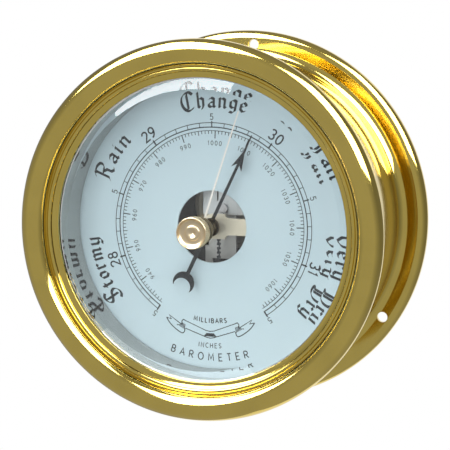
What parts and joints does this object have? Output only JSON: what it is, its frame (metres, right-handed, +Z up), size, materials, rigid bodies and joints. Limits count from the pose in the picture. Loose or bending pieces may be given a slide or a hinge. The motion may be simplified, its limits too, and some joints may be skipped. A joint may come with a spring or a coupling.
{
  "type": "barometer",
  "caption": "Bulkhead aneroid barometer in a polished brass case with a screw-on bezel, round window onto the movement, pointer and set hand.",
  "frame": {"origin": "centre of the flange's back face, on the wall", "axes": "+X to the right of the dial, +Y into the wall, +Z up; the dial faces -Y"},
  "size_m": [0.152, 0.066, 0.152],
  "materials": {
    "case_brass": "polished and lacquered",
    "brass": "turned",
    "knob_brass": "polished front, straight knurl",
    "pale_brass": "satin",
    "steel": "bright",
    "spring_steel": "grained",
    "dark_steel": "blackened",
    "dial_print": "matt silvered with black print",
    "black_lacquer": "black lacquer",
    "mirror": "bright plated",
    "glass": "clear",
    "black_rubber": "matt"
  },
  "bodies": {
    "case": {"case_body": "case_brass", "back_plate": "brass", "back_plate_screws": "brass", "movement_spacers": "steel", "movement_screws": "steel", "base_plate": "dark_steel", "capsule_lower": "pale_brass", "capsule_upper": "pale_brass", "spring_bridge": "dark_steel", "mainspring": "spring_steel", "spring_clamp": "dark_steel", "spring_clamp_screws": "steel", "rocker_posts": "dark_steel", "pivot_screws": "steel", "chain": "dark_steel", "arbor_pillar": "brass", "lower_arm": "brass", "cage_spacer": "brass", "upper_arm": "pale_brass", "cage_screw": "steel", "hairspring": "steel", "hairspring_stud": "brass", "dial": "dial_print", "dial_feet": "brass", "dial_foot_screws": "steel"},
    "pointer_set": {"arbor": "steel", "pointer": "black_lacquer", "pointer_hub": "black_lacquer"},
    "rocker": {"rocker_bar": "brass"},
    "lever": {"main_lever": "steel", "lever_screws": "steel", "capsule_post": "steel", "capsule_nut": "steel"},
    "link": {"link_rod": "pale_brass"},
    "sea_level_screw": {"adjusting_screw": "brass"},
    "glass_unit": {"glass": "glass", "glass_gasket": "black_rubber", "reflector_ring": "mirror"},
    "bezel": {"bezel_ring": "case_brass", "retaining_ring": "brass"},
    "set_hand_set": {"set_spindle": "brass", "set_hand": "pale_brass", "set_hand_hub": "pale_brass", "set_knob": "knob_brass", "glass_washers": "black_rubber"}
  },
  "joints": [
    {"name": "pointer_turn", "type": "hinge", "parent": "case", "child": "pointer_set", "pos_m": [0, -0.042, 0], "axis": [0, 1, 0], "range_deg": [-171.6, 120.4], "deforming": ["chain", "hairspring", "mainspring", "capsule_upper"]},
    {"name": "rocker_turn", "type": "hinge", "parent": "case", "child": "rocker", "pos_m": [0, -0.0245, -0.024], "axis": [1, 0, 0], "range_deg": [-15.2, 10.8]},
    {"name": "lever_flex", "type": "hinge", "parent": "case", "child": "lever", "pos_m": [0, -0.032, 0.023], "axis": [1, 0, 0], "range_deg": [-1.48, 1.1]},
    {"name": "link_pivot", "type": "hinge", "parent": "lever", "child": "link", "pos_m": [-0.005, -0.0309, -0.0285], "axis": [1, 0, 0], "range_deg": [-1.1, 1.48]},
    {"name": "sea_level_turn", "type": "hinge", "parent": "case", "child": "sea_level_screw", "pos_m": [0.0014, -0.008, 0.0062], "axis": [0, 1, 0], "range_deg": [-720, 720]},
    {"name": "glass_travel", "type": "slide", "parent": "case", "child": "glass_unit", "axis": [0, -1, 0], "range_m": [0, 0.006]},
    {"name": "bezel_turn", "type": "hinge", "parent": "glass_unit", "child": "bezel", "pos_m": [0, -0.055, 0], "axis": [0, -1, 0], "range_deg": [0, 1440]},
    {"name": "set_hand_turn", "type": "hinge", "parent": "glass_unit", "child": "set_hand_set", "pos_m": [0, -0.057, 0], "axis": [0, 1, 0], "continuous": true}
  ],
  "couplings": [
    {"joint": "rocker_turn", "follows": "pointer_turn", "ratio": 0.085417},
    {"joint": "lever_flex", "follows": "pointer_turn", "ratio": 0.0074636},
    {"joint": "link_pivot", "follows": "pointer_turn", "ratio": -0.0074636},
    {"joint": "glass_travel", "follows": "bezel_turn", "m_per_rad": 0.00023873}
  ]
}
